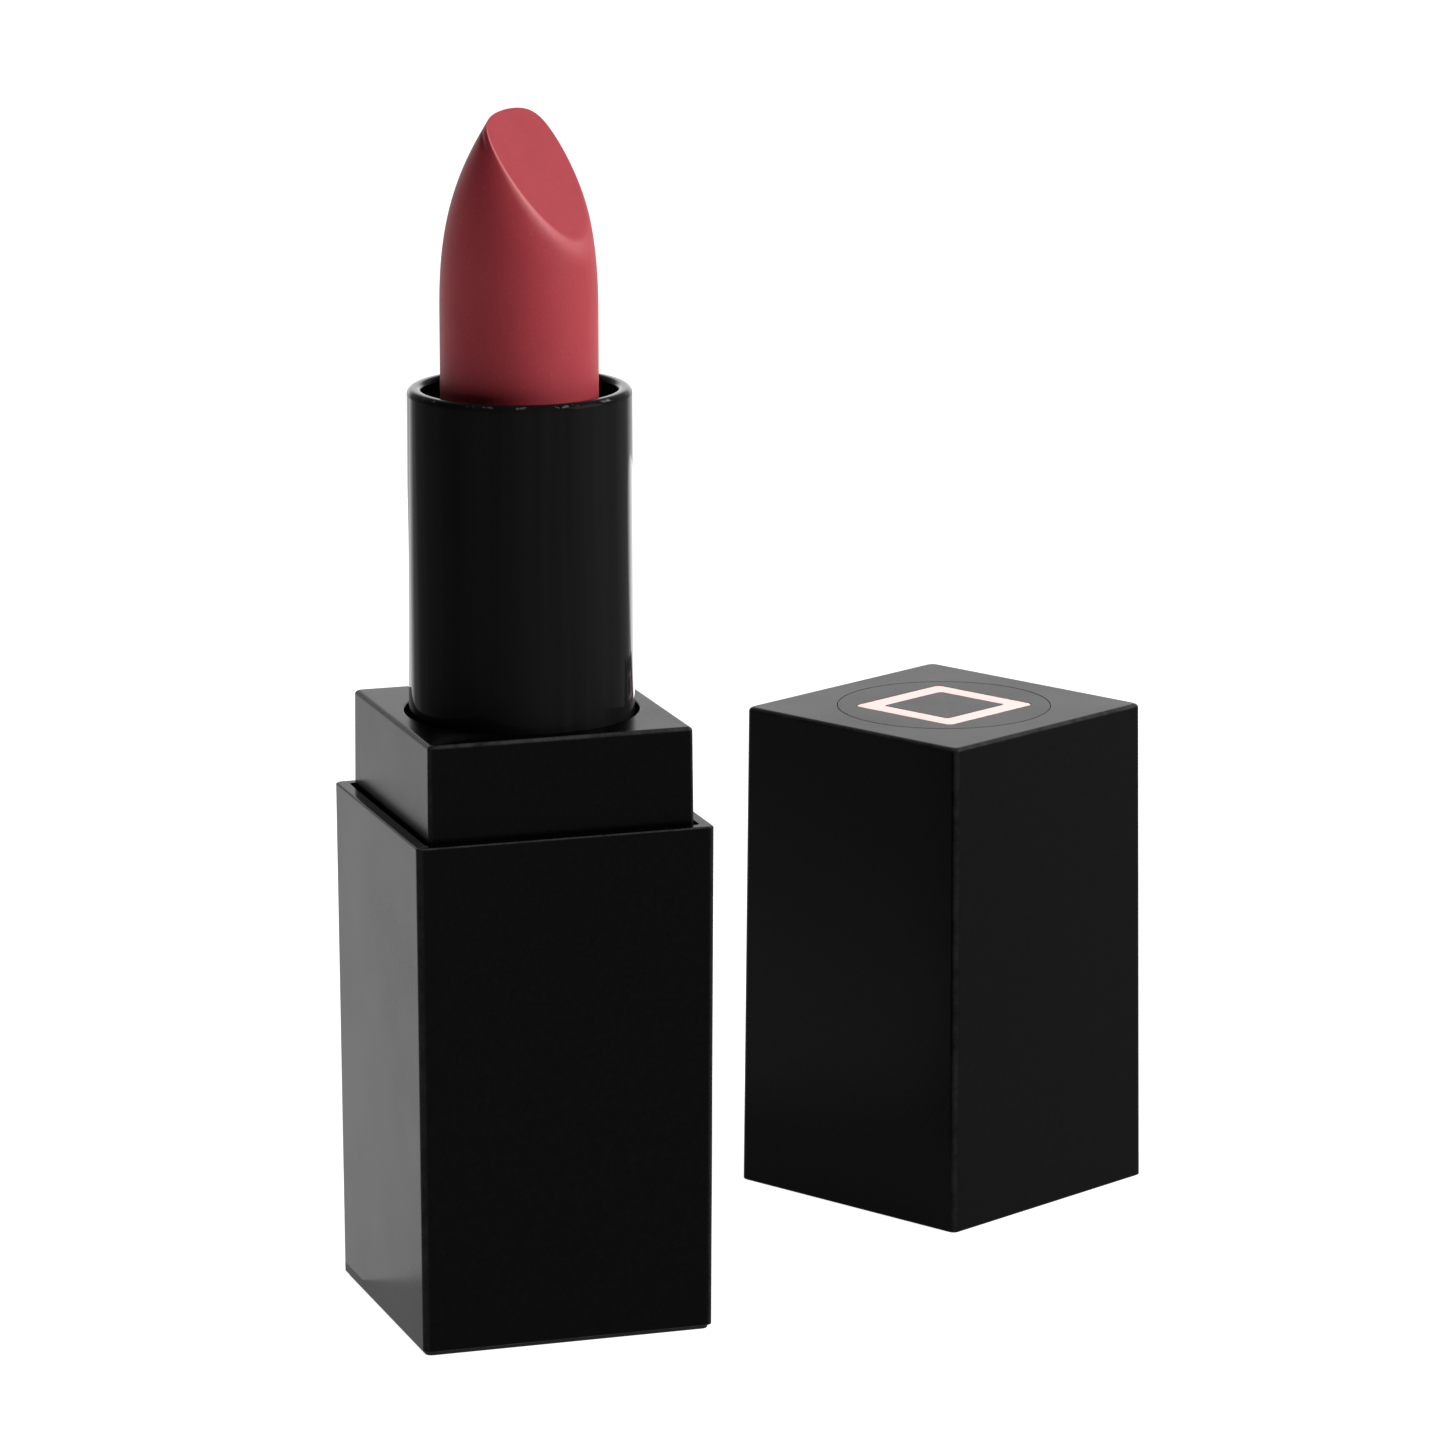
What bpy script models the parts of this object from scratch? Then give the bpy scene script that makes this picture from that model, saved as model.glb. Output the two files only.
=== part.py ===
"""Square lipstick case with a twist-up bullet, its cap standing beside it.

Units are metres and +Z is up. The origin is the centre of the base's foot, on the surface it stands on.
The tube turns about the Z axis. Its helical grooves lift the cup, and two straight slots in the fixed
fork keep the cup from turning.
"""
import math

import bmesh
import bpy
from mathutils import Matrix, Vector

MM = 0.001

# Points around every ring, a multiple of 8, and how many of a quarter's spans lie on a square's corner arc
RING_POINTS = 48
QUARTER_POINTS = RING_POINTS // 4
CORNER_SPANS = 6

# Fits between neighbouring pieces
PRESS_GAP = 0.04 * MM
RUNNING_GAP = 0.06 * MM
SEAT_GAP = 0.05 * MM

# Base: a square shell over a foot plate, with the collar standing out of its top
RIM_HALF = 10.75 * MM
FOOT_HALF = 10.57 * MM
BASE_HEIGHT = 36.5 * MM
RIM_WALL = 0.88 * MM
CAVITY_HALF = RIM_HALF - RIM_WALL
OUTER_CORNER = 0.4 * MM
INNER_CORNER = 0.3 * MM
EDGE_BEVEL = 0.12 * MM
PLATE_LIP = 0.3 * MM
PLATE_INSET = 0.22 * MM
PLATE_TOP = 1.6 * MM
LABEL_RADIUS = 7.4 * MM
LABEL_THICKNESS = 0.15 * MM

WEIGHT_RADIUS = 8.2 * MM
WEIGHT_TOP = 9.5 * MM
WEIGHT_CHAMFER = 0.4 * MM

INSERT_TOP = 31.9 * MM
INSERT_WEB = 1.2 * MM
INSERT_WALL = 0.85 * MM
SOCKET_BOTTOM = 23.5 * MM
SOCKET_WALL = 1.1 * MM

COLLAR_TOP = 43.4 * MM
COLLAR_HALF_AT_RIM = 9.625 * MM
COLLAR_HALF_AT_TOP = 9.56 * MM
COLLAR_BEVEL = 0.25 * MM
COLLAR_BAND_TOP = 34.0 * MM
BORE_RADIUS = 8.25 * MM
BORE_FLOOR = 33.15 * MM
BORE_CHAMFER = 0.15 * MM
FLOOR_HOLE_RADIUS = 6.9 * MM

# Fixed fork tube, whose two straight slots guide the cup
FORK_RADIUS = 6.5 * MM
FORK_BORE = 6.08 * MM
FORK_BOTTOM = SOCKET_BOTTOM + 0.1 * MM
FORK_TOP = 63.2 * MM
FORK_FLANGE = 7.2 * MM

# Turning tube and the helical sleeve inside it
TUBE_RADIUS_AT_FOOT = 7.95 * MM
TUBE_RADIUS_AT_LIP = 7.85 * MM
TUBE_BORE = 7.35 * MM
TUBE_BOTTOM = BORE_FLOOR + SEAT_GAP
TUBE_TOP = 66.3 * MM
MOUTH_RADIUS = 6.8 * MM
LIP_DEPTH = 1.0 * MM
LIP_STEPS = 4

SPIRAL_BORE = FORK_RADIUS + RUNNING_GAP
SPIRAL_TOP = 62.35 * MM
GROOVE_RADIUS = 7.05 * MM
GROOVE_HEIGHT = 2.2 * MM
SEAL_POCKET_RADIUS = 7.0 * MM
SEAL_POCKET_TOP = 34.2 * MM
SEAL_SECTION = 0.2 * MM
SEAL_SIDES = 8

# Cup with two lugs, and the bullet it carries
LEAD = 9.0 * MM
TRAVEL_DOWN = 20.7 * MM
TRAVEL_UP = 1.8 * MM
CUP_RADIUS = FORK_BORE - 0.08 * MM
CUP_BORE = 5.62 * MM
CUP_BOTTOM = 54.0 * MM
CUP_TOP = 64.9 * MM
CUP_FLOOR = 0.8 * MM
CUP_VENT_RADIUS = 2.0 * MM
LUG_RADIUS = 1.0 * MM
LUG_REACH = 6.9 * MM
LUG_HEIGHT = 56.8 * MM
SLOT_CLEARANCE = 0.05 * MM

# The bullet narrows above its shoulders by a power of the height: one law towards its face, one across it
BULLET_RADIUS = 5.52 * MM
DEPTH_SHOULDER = 71.2 * MM
DEPTH_REACH = 15.57 * MM
DEPTH_POWER = 2.485
WIDTH_SHOULDER = 72.74 * MM
WIDTH_REACH = 16.95 * MM
WIDTH_POWER = 3.22
ARCH_TOP = 86.5 * MM
ARCH_STEPS = 12
BULLET_CHAMFER = 0.3 * MM
FACE_AZIMUTH = math.radians(-46.8)
FACE_RISE = math.radians(34.2)
FACE_TOP = 85.63 * MM

# Cap, modelled about its own mouth and then stood beside the base
CAP_PLACE = (38.8 * MM, 20.5 * MM, 0.0)
CAP_TURN = math.radians(28.85)
CAP_HEIGHT = 36.43 * MM
CAP_MOUTH_HALF = 10.68 * MM
CAP_TOP_HALF = 10.375 * MM
CAP_CAVITY_HALF = 9.96 * MM
CAP_CAVITY_TOP = 34.9 * MM
LINER_GAP = 0.04 * MM
LINER_BORE_HALF = 9.68 * MM
LINER_BOTTOM = 0.4 * MM
LINER_TOP = 34.4 * MM
DISC_RADIUS = 7.9 * MM
DISC_THICKNESS = 0.9 * MM
EMBLEM_OUTER_HALF = 4.7 * MM
EMBLEM_INNER_HALF = 3.2 * MM
EMBLEM_OUTER_CORNER = 0.5 * MM
EMBLEM_INNER_CORNER = 0.3 * MM
EMBLEM_THICKNESS = 0.3 * MM


def clear_scene():
    """Remove every object that is already in the scene."""
    for old in list(bpy.data.objects):
        bpy.data.objects.remove(old, do_unlink=True)


def material(name, color, roughness, metallic=0.0):
    """One Principled material."""
    made = bpy.data.materials.new(name)
    made.use_nodes = True
    shader = made.node_tree.nodes["Principled BSDF"]
    shader.inputs["Base Color"].default_value = (*color, 1.0)
    shader.inputs["Roughness"].default_value = roughness
    shader.inputs["Metallic"].default_value = metallic
    made.diffuse_color = (*color, 1.0)
    return made


def square_ring(z, half, corner):
    """Points of a square with rounded corners, starting at the middle of its +X side."""
    straight_spans = (QUARTER_POINTS - CORNER_SPANS) // 2
    points = []
    for index in range(RING_POINTS):
        quarter, step = divmod(index, QUARTER_POINTS)
        if step < straight_spans:
            x, y = half, (half - corner) * step / straight_spans
        elif step <= straight_spans + CORNER_SPANS:
            angle = 0.5 * math.pi * (step - straight_spans) / CORNER_SPANS
            x = half - corner + corner * math.cos(angle)
            y = half - corner + corner * math.sin(angle)
        else:
            x, y = (half - corner) * (QUARTER_POINTS - step) / straight_spans, half
        points.append(Matrix.Rotation(0.5 * math.pi * quarter, 3, "Z") @ Vector((x, y, z)))
    return points


def round_ring(z, radius):
    """Points of a circle, starting on the +X axis."""
    angles = (2.0 * math.pi * index / RING_POINTS for index in range(RING_POINTS))
    return [Vector((radius * math.cos(angle), radius * math.sin(angle), z)) for angle in angles]


def finish(name, bm, look, smooth_angle=35.0):
    """Turn a bmesh into a scene object with one material, its faces pointing out and round walls smooth."""
    bmesh.ops.recalc_face_normals(bm, faces=bm.faces)
    mesh = bpy.data.meshes.new(name)
    bm.to_mesh(mesh)
    bm.free()
    mesh.materials.append(look)
    mesh.shade_smooth()
    mesh.set_sharp_from_angle(angle=math.radians(smooth_angle))
    made = bpy.data.objects.new(name, mesh)
    bpy.context.scene.collection.objects.link(made)
    return made


def loft(name, rings, look, closed):
    """Skin a run of rings. A closed run joins its last ring to its first, an open one is capped."""
    bm = bmesh.new()
    rows = [[bm.verts.new(point) for point in ring] for ring in rings]
    spans = list(zip(rows, rows[1:]))
    if closed:
        spans.append((rows[-1], rows[0]))
    else:
        bm.faces.new(rows[0])
        bm.faces.new(rows[-1])
    for lower, upper in spans:
        for index in range(RING_POINTS):
            following = (index + 1) % RING_POINTS
            bm.faces.new((lower[index], lower[following], upper[following], upper[index]))
    return finish(name, bm, look)


def as_tool(made):
    """Hide a piece that only shapes another one."""
    made.hide_render = True
    made.display_type = "WIRE"
    return made


def combine(target, tool, operation):
    """Cut the tool out of the target, or join it on."""
    step = target.modifiers.new(tool.name, "BOOLEAN")
    step.operation = operation
    step.solver = "EXACT"
    step.object = tool


def base_shell(look):
    """Square outer shell, a little wider at its rim than at its foot."""
    rings = [
        square_ring(PLATE_LIP, FOOT_HALF, OUTER_CORNER),
        square_ring(BASE_HEIGHT - EDGE_BEVEL, RIM_HALF, OUTER_CORNER),
        square_ring(BASE_HEIGHT, RIM_HALF - EDGE_BEVEL, OUTER_CORNER),
        square_ring(BASE_HEIGHT, CAVITY_HALF, INNER_CORNER),
        square_ring(PLATE_LIP, CAVITY_HALF, INNER_CORNER),
    ]
    return loft("base_shell", rings, look, closed=True)


def base_plate(look):
    """Foot plate: a lip under the shell's end, a plug inside the shell and a round recess for the label."""
    recess_radius = LABEL_RADIUS + SEAT_GAP
    recess_top = LABEL_THICKNESS + SEAT_GAP
    lip_half = FOOT_HALF - PLATE_INSET
    lip_top = PLATE_LIP - SEAT_GAP
    plug_half = CAVITY_HALF - PRESS_GAP
    rings = [
        round_ring(recess_top, recess_radius),
        round_ring(0.0, recess_radius),
        square_ring(0.0, lip_half, OUTER_CORNER),
        square_ring(lip_top, lip_half, OUTER_CORNER),
        square_ring(lip_top, plug_half, INNER_CORNER),
        square_ring(PLATE_TOP, plug_half, INNER_CORNER),
    ]
    return loft("base_plate", rings, look, closed=False)


def shade_label(look):
    """Blank round label, flush with the foot."""
    rings = [round_ring(0.0, LABEL_RADIUS), round_ring(LABEL_THICKNESS, LABEL_RADIUS)]
    return loft("shade_label", rings, look, closed=False)


def weight(look):
    """Round slug between the foot plate and the insert, which makes the case stand steady."""
    bottom = PLATE_TOP + SEAT_GAP
    rings = [
        round_ring(bottom, WEIGHT_RADIUS - WEIGHT_CHAMFER),
        round_ring(bottom + WEIGHT_CHAMFER, WEIGHT_RADIUS),
        round_ring(WEIGHT_TOP - WEIGHT_CHAMFER, WEIGHT_RADIUS),
        round_ring(WEIGHT_TOP, WEIGHT_RADIUS - WEIGHT_CHAMFER),
    ]
    return loft("weight", rings, look, closed=False)


def base_insert(look):
    """Moulded liner of the base: a square skirt, a web across its top and a socket for the fork's foot."""
    outer_half = CAVITY_HALF - PRESS_GAP
    inner_half = outer_half - INSERT_WALL
    bottom = WEIGHT_TOP + SEAT_GAP
    socket_radius = FORK_RADIUS + PRESS_GAP
    rings = [
        square_ring(bottom, outer_half, INNER_CORNER),
        square_ring(INSERT_TOP, outer_half, INNER_CORNER),
        round_ring(INSERT_TOP, socket_radius),
        round_ring(SOCKET_BOTTOM, socket_radius),
        round_ring(SOCKET_BOTTOM, socket_radius + SOCKET_WALL),
        round_ring(INSERT_TOP - INSERT_WEB, socket_radius + SOCKET_WALL),
        square_ring(INSERT_TOP - INSERT_WEB, inner_half, INNER_CORNER),
        square_ring(bottom, inner_half, INNER_CORNER),
    ]
    return loft("base_insert", rings, look, closed=True)


def collar(look):
    """Square step that the cap slides over, bored for the turning tube, which rests on its floor."""
    bottom = INSERT_TOP + SEAT_GAP
    band_half = CAVITY_HALF - PRESS_GAP
    rings = [
        square_ring(bottom, band_half, INNER_CORNER),
        square_ring(COLLAR_BAND_TOP, band_half, INNER_CORNER),
        square_ring(COLLAR_BAND_TOP, COLLAR_HALF_AT_RIM, INNER_CORNER),
        square_ring(BASE_HEIGHT, COLLAR_HALF_AT_RIM, INNER_CORNER),
        square_ring(COLLAR_TOP - COLLAR_BEVEL, COLLAR_HALF_AT_TOP, INNER_CORNER),
        square_ring(COLLAR_TOP, COLLAR_HALF_AT_TOP - COLLAR_BEVEL, INNER_CORNER),
        round_ring(COLLAR_TOP, BORE_RADIUS + BORE_CHAMFER),
        round_ring(COLLAR_TOP - BORE_CHAMFER, BORE_RADIUS),
        round_ring(BORE_FLOOR, BORE_RADIUS),
        round_ring(BORE_FLOOR, FLOOR_HOLE_RADIUS),
        round_ring(bottom, FLOOR_HOLE_RADIUS),
    ]
    return loft("collar", rings, look, closed=True)


def outer_tube(look):
    """Glossy tube that the hand turns: a straight bore, and a wall that rolls over a half-round lip."""
    lip_middle = 0.5 * (TUBE_RADIUS_AT_LIP + MOUTH_RADIUS)
    lip_half = 0.5 * (TUBE_RADIUS_AT_LIP - MOUTH_RADIUS)
    lip_base = TUBE_TOP - lip_half
    rings = [round_ring(TUBE_BOTTOM, TUBE_BORE), round_ring(TUBE_BOTTOM, TUBE_RADIUS_AT_FOOT)]
    for step in range(2 * LIP_STEPS + 1):
        angle = 0.5 * math.pi * step / LIP_STEPS
        radius = lip_middle + lip_half * math.cos(angle)
        rings.append(round_ring(lip_base + lip_half * math.sin(angle), radius))
    rings.append(round_ring(TUBE_TOP - LIP_DEPTH, MOUTH_RADIUS))
    rings.append(round_ring(TUBE_TOP - LIP_DEPTH - (TUBE_BORE - MOUTH_RADIUS), TUBE_BORE))
    return loft("outer_tube", rings, look, closed=True)


def groove_tool(name, first_angle, look):
    """Rectangular bar swept along the helix that one of the cup's lugs follows."""
    step_angle = 2.0 * math.pi / RING_POINTS
    run_out = math.radians(12.0)
    lowest = -2.0 * math.pi * TRAVEL_DOWN / LEAD - run_out
    highest = 2.0 * math.pi * TRAVEL_UP / LEAD + run_out
    first_step = math.floor(lowest / step_angle)
    last_step = math.ceil(highest / step_angle)
    inner_radius = SPIRAL_BORE - 0.3 * MM
    bm = bmesh.new()
    sections = []
    for step in range(first_step, last_step + 1):
        angle = first_angle + step * step_angle
        middle = LUG_HEIGHT + LEAD * step * step_angle / (2.0 * math.pi)
        corners = []
        square = ((inner_radius, -1), (GROOVE_RADIUS, -1), (GROOVE_RADIUS, 1), (inner_radius, 1))
        for radius, side in square:
            z = middle + 0.5 * side * GROOVE_HEIGHT
            corners.append(bm.verts.new((radius * math.cos(angle), radius * math.sin(angle), z)))
        sections.append(corners)
    for near, far in zip(sections, sections[1:]):
        for index in range(4):
            following = (index + 1) % 4
            bm.faces.new((near[index], near[following], far[following], far[index]))
    bm.faces.new(sections[0])
    bm.faces.new(sections[-1])
    return as_tool(finish(name, bm, look))


def spiral(look):
    """Sleeve fixed in the tube, with two helical grooves in its bore and a pocket for the seal."""
    radius = TUBE_BORE - SEAT_GAP
    bottom = TUBE_BOTTOM + SEAT_GAP
    rings = [
        round_ring(bottom, radius),
        round_ring(SPIRAL_TOP, radius),
        round_ring(SPIRAL_TOP, SPIRAL_BORE),
        round_ring(SEAL_POCKET_TOP, SPIRAL_BORE),
        round_ring(SEAL_POCKET_TOP, SEAL_POCKET_RADIUS),
        round_ring(bottom, SEAL_POCKET_RADIUS),
    ]
    made = loft("spiral", rings, look, closed=True)
    for start in range(2):
        combine(made, groove_tool(f"groove_tool_{start}", start * math.pi, look), "DIFFERENCE")
    return made


def torque_ring(look):
    """Round seal squeezed between the fork and the turning sleeve, which gives the twist its drag."""
    middle = 0.5 * (FORK_RADIUS + SEAL_POCKET_RADIUS)
    height = 0.5 * (TUBE_BOTTOM + SEAT_GAP + SEAL_POCKET_TOP)
    rings = []
    for step in range(SEAL_SIDES):
        angle = 2.0 * math.pi * step / SEAL_SIDES
        radius = middle + SEAL_SECTION * math.cos(angle)
        rings.append(round_ring(height + SEAL_SECTION * math.sin(angle), radius))
    return loft("torque_ring", rings, look, closed=True)


def box_tool(name, center, size, look):
    """Straight-sided cutter."""
    bm = bmesh.new()
    place = Matrix.Translation(center) @ Matrix.Diagonal((*size, 1.0))
    bmesh.ops.create_cube(bm, size=1.0, matrix=place)
    return as_tool(finish(name, bm, look))


def inner_body(look):
    """Fixed fork tube: its foot sits in the insert's socket and its flange holds the sleeve down."""
    rings = [
        round_ring(FORK_BOTTOM, FORK_BORE),
        round_ring(FORK_BOTTOM, FORK_RADIUS),
        round_ring(SPIRAL_TOP + SEAT_GAP, FORK_RADIUS),
        round_ring(SPIRAL_TOP + SEAT_GAP, FORK_FLANGE),
        round_ring(FORK_TOP, FORK_FLANGE),
        round_ring(FORK_TOP, FORK_BORE),
    ]
    made = loft("inner_body", rings, look, closed=True)
    slot_low = LUG_HEIGHT - TRAVEL_DOWN - LUG_RADIUS - SLOT_CLEARANCE
    slot_high = LUG_HEIGHT + TRAVEL_UP + LUG_RADIUS + SLOT_CLEARANCE
    slot_size = (2.0 * MM, 2.0 * (LUG_RADIUS + SLOT_CLEARANCE), slot_high - slot_low)
    for index, side in enumerate((1, -1)):
        center = (side * 0.5 * (FORK_RADIUS + FORK_BORE), 0.0, 0.5 * (slot_low + slot_high))
        combine(made, box_tool(f"slot_tool_{index}", center, slot_size, look), "DIFFERENCE")
    return made


def lug_tool(name, side, look):
    """Round lug that sticks out of the cup along X."""
    inner_end = 0.5 * (CUP_BORE + CUP_RADIUS)
    length = LUG_REACH - inner_end
    middle = Vector((side * (inner_end + 0.5 * length), 0.0, LUG_HEIGHT))
    place = Matrix.Translation(middle) @ Matrix.Rotation(0.5 * math.pi, 4, "Y")
    bm = bmesh.new()
    bmesh.ops.create_cone(
        bm, cap_ends=True, segments=20, radius1=LUG_RADIUS, radius2=LUG_RADIUS, depth=length, matrix=place
    )
    return as_tool(finish(name, bm, look))


def cup(look):
    """Holder of the bullet, with a vented floor and the two lugs that the sleeve drives."""
    rings = [
        round_ring(CUP_BOTTOM, CUP_RADIUS),
        round_ring(CUP_TOP, CUP_RADIUS),
        round_ring(CUP_TOP, CUP_BORE),
        round_ring(CUP_BOTTOM + CUP_FLOOR, CUP_BORE),
        round_ring(CUP_BOTTOM + CUP_FLOOR, CUP_VENT_RADIUS),
        round_ring(CUP_BOTTOM, CUP_VENT_RADIUS),
    ]
    made = loft("cup", rings, look, closed=True)
    for index, side in enumerate((1, -1)):
        combine(made, lug_tool(f"lug_tool_{index}", side, look), "UNION")
    return made


def half_breadth(z, shoulder, reach, power):
    """Half-breadth of the bullet at a level: its radius, less a power of the height above a shoulder."""
    return BULLET_RADIUS * (1.0 - (max(z - shoulder, 0.0) / reach) ** power)


def half_depth(z):
    """Half-breadth of the bullet towards its face."""
    return half_breadth(z, DEPTH_SHOULDER, DEPTH_REACH, DEPTH_POWER)


def arch_ring(z):
    """Oval of the bullet's arch, its short axis towards the face."""
    depth = half_depth(z)
    width = half_breadth(z, WIDTH_SHOULDER, WIDTH_REACH, WIDTH_POWER)
    turn = Matrix.Rotation(FACE_AZIMUTH, 3, "Z")
    return [turn @ Vector((point.x * depth, point.y * width, point.z)) for point in round_ring(z, 1.0)]


def bullet(look):
    """Round stick that narrows to a pointed arch, cut by one slanted plane."""
    bottom = CUP_BOTTOM + CUP_FLOOR + SEAT_GAP
    turn = Matrix.Rotation(FACE_AZIMUTH, 3, "Z")
    foot_rings = [
        round_ring(bottom, BULLET_RADIUS - BULLET_CHAMFER),
        round_ring(bottom + BULLET_CHAMFER, BULLET_RADIUS),
    ]
    rings = [[turn @ point for point in ring] for ring in foot_rings]
    for step in range(ARCH_STEPS + 1):
        share = math.sin(0.5 * math.pi * step / ARCH_STEPS)
        rings.append(arch_ring(DEPTH_SHOULDER + (ARCH_TOP - DEPTH_SHOULDER) * share))
    made = loft("bullet", rings, look, closed=False)

    level = Vector((math.cos(FACE_AZIMUTH), math.sin(FACE_AZIMUTH), 0.0))
    normal = math.cos(FACE_RISE) * level + Vector((0.0, 0.0, math.sin(FACE_RISE)))
    top_point = Vector((0.0, 0.0, FACE_TOP)) - half_depth(FACE_TOP) * level
    bm = bmesh.new()
    bm.from_mesh(made.data)
    everything = bm.verts[:] + bm.edges[:] + bm.faces[:]
    cut = bmesh.ops.bisect_plane(bm, geom=everything, plane_co=top_point, plane_no=normal, clear_outer=True)
    rim = [item for item in cut["geom_cut"] if isinstance(item, bmesh.types.BMEdge)]
    bmesh.ops.contextual_create(bm, geom=rim)
    bmesh.ops.recalc_face_normals(bm, faces=bm.faces)
    bm.to_mesh(made.data)
    bm.free()
    made.data.set_sharp_from_angle(angle=math.radians(15.0))
    return made


def cap_shell(look):
    """Square outer shell of the cap, open below, with a shallow round recess in its top."""
    recess_floor = CAP_HEIGHT - DISC_THICKNESS - SEAT_GAP
    recess_radius = DISC_RADIUS + PRESS_GAP
    bevel_start = CAP_HEIGHT - EDGE_BEVEL
    rings = [
        square_ring(CAP_CAVITY_TOP, CAP_CAVITY_HALF, INNER_CORNER),
        square_ring(0.0, CAP_CAVITY_HALF, INNER_CORNER),
        square_ring(0.0, CAP_MOUTH_HALF - EDGE_BEVEL, OUTER_CORNER),
        square_ring(EDGE_BEVEL, CAP_MOUTH_HALF, OUTER_CORNER),
        square_ring(bevel_start, CAP_TOP_HALF, OUTER_CORNER),
        square_ring(CAP_HEIGHT, CAP_TOP_HALF - EDGE_BEVEL, OUTER_CORNER),
        round_ring(CAP_HEIGHT, recess_radius),
        round_ring(recess_floor, recess_radius),
    ]
    return loft("cap_shell", rings, look, closed=False)


def cap_liner(look):
    """Thin square sleeve inside the cap, which grips the collar."""
    outer_half = CAP_CAVITY_HALF - LINER_GAP
    rings = [
        square_ring(LINER_BOTTOM, outer_half, INNER_CORNER),
        square_ring(LINER_TOP, outer_half, INNER_CORNER),
        square_ring(LINER_TOP, LINER_BORE_HALF, INNER_CORNER),
        square_ring(LINER_BOTTOM, LINER_BORE_HALF, INNER_CORNER),
    ]
    return loft("cap_liner", rings, look, closed=True)


def cap_disc(look):
    """Round disc let into the cap's top, with a square groove for the emblem."""
    bottom = CAP_HEIGHT - DISC_THICKNESS
    groove_floor = CAP_HEIGHT - EMBLEM_THICKNESS - SEAT_GAP
    groove_outer = EMBLEM_OUTER_HALF + PRESS_GAP
    groove_inner = EMBLEM_INNER_HALF - PRESS_GAP
    rings = [
        round_ring(bottom, DISC_RADIUS),
        round_ring(CAP_HEIGHT, DISC_RADIUS),
        square_ring(CAP_HEIGHT, groove_outer, EMBLEM_OUTER_CORNER),
        square_ring(groove_floor, groove_outer, EMBLEM_OUTER_CORNER),
        square_ring(groove_floor, groove_inner, EMBLEM_INNER_CORNER),
        square_ring(CAP_HEIGHT, groove_inner, EMBLEM_INNER_CORNER),
    ]
    return loft("cap_disc", rings, look, closed=False)


def cap_emblem(look):
    """Plain square frame laid in the disc's groove."""
    bottom = CAP_HEIGHT - EMBLEM_THICKNESS
    rings = [
        square_ring(bottom, EMBLEM_OUTER_HALF, EMBLEM_OUTER_CORNER),
        square_ring(CAP_HEIGHT, EMBLEM_OUTER_HALF, EMBLEM_OUTER_CORNER),
        square_ring(CAP_HEIGHT, EMBLEM_INNER_HALF, EMBLEM_INNER_CORNER),
        square_ring(bottom, EMBLEM_INNER_HALF, EMBLEM_INNER_CORNER),
    ]
    return loft("cap_emblem", rings, look, closed=True)


def stand_cap(pieces):
    """Carry the cap's pieces on an empty that stands where the cap stands."""
    seat = bpy.data.objects.new("cap_seat", None)
    bpy.context.scene.collection.objects.link(seat)
    seat.location = CAP_PLACE
    seat.rotation_euler = (0.0, 0.0, CAP_TURN)
    for piece in pieces:
        piece.parent = seat


def build():
    """Make every piece."""
    clear_scene()
    satin_black = material("satin_black_plastic", (0.012, 0.012, 0.013), 0.42)
    gloss_black = material("gloss_black_tube", (0.006, 0.006, 0.007), 0.12)
    moulded_black = material("moulded_black_plastic", (0.02, 0.02, 0.021), 0.5)
    base_shell(satin_black)
    base_plate(moulded_black)
    shade_label(material("label_paper", (0.78, 0.77, 0.74), 0.6))
    weight(material("plated_steel", (0.56, 0.55, 0.53), 0.35, 1.0))
    base_insert(moulded_black)
    collar(satin_black)
    outer_tube(gloss_black)
    spiral(material("natural_acetal", (0.82, 0.81, 0.77), 0.4))
    torque_ring(material("clear_silicone", (0.70, 0.68, 0.64), 0.45))
    inner_body(material("white_acetal", (0.86, 0.86, 0.85), 0.38))
    cup(moulded_black)
    bullet(material("rose_lipstick", (0.45, 0.085, 0.10), 0.38))
    stand_cap([
        cap_shell(satin_black),
        cap_liner(moulded_black),
        cap_disc(material("grey_cap_disc", (0.10, 0.103, 0.108), 0.25)),
        cap_emblem(material("pink_foil", (0.98, 0.68, 0.66), 0.3)),
    ])


build()
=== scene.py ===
"""Square lipstick case with its bullet turned up and its cap standing beside it.

Lengths named below are in millimetres; MM turns them into the frame's metres.
"""
import math

import bpy
import numpy as np
from mathutils import Matrix, Vector


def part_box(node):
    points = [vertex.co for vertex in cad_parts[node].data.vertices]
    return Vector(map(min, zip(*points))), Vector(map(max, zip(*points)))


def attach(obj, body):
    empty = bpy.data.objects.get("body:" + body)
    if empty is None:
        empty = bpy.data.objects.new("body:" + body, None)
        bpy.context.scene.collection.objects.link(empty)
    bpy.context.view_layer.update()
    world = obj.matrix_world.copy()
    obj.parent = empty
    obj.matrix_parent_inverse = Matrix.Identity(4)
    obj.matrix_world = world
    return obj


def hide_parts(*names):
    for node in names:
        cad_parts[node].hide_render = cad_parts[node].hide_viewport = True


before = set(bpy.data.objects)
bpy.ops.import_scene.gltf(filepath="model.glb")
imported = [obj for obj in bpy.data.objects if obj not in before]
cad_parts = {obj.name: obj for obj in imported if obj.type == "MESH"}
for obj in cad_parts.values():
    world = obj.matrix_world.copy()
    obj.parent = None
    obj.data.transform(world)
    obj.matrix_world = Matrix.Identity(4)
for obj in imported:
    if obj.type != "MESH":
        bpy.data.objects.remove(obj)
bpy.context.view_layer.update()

MM = 0.001

# Rings of the square pieces: a quarter is half a side, a corner arc and half a side
CORNER_SPANS = 12
SIDE_STOPS = np.array([0.0, 0.25, 0.5, 0.72, 0.88, 0.96, 0.99, 1.0])
ROUND_POINTS = 192
FILLET_SPANS = 5
SUPPORT = 0.04
LEAST_FILLET = 0.03
LUG_STEP = 6

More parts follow.
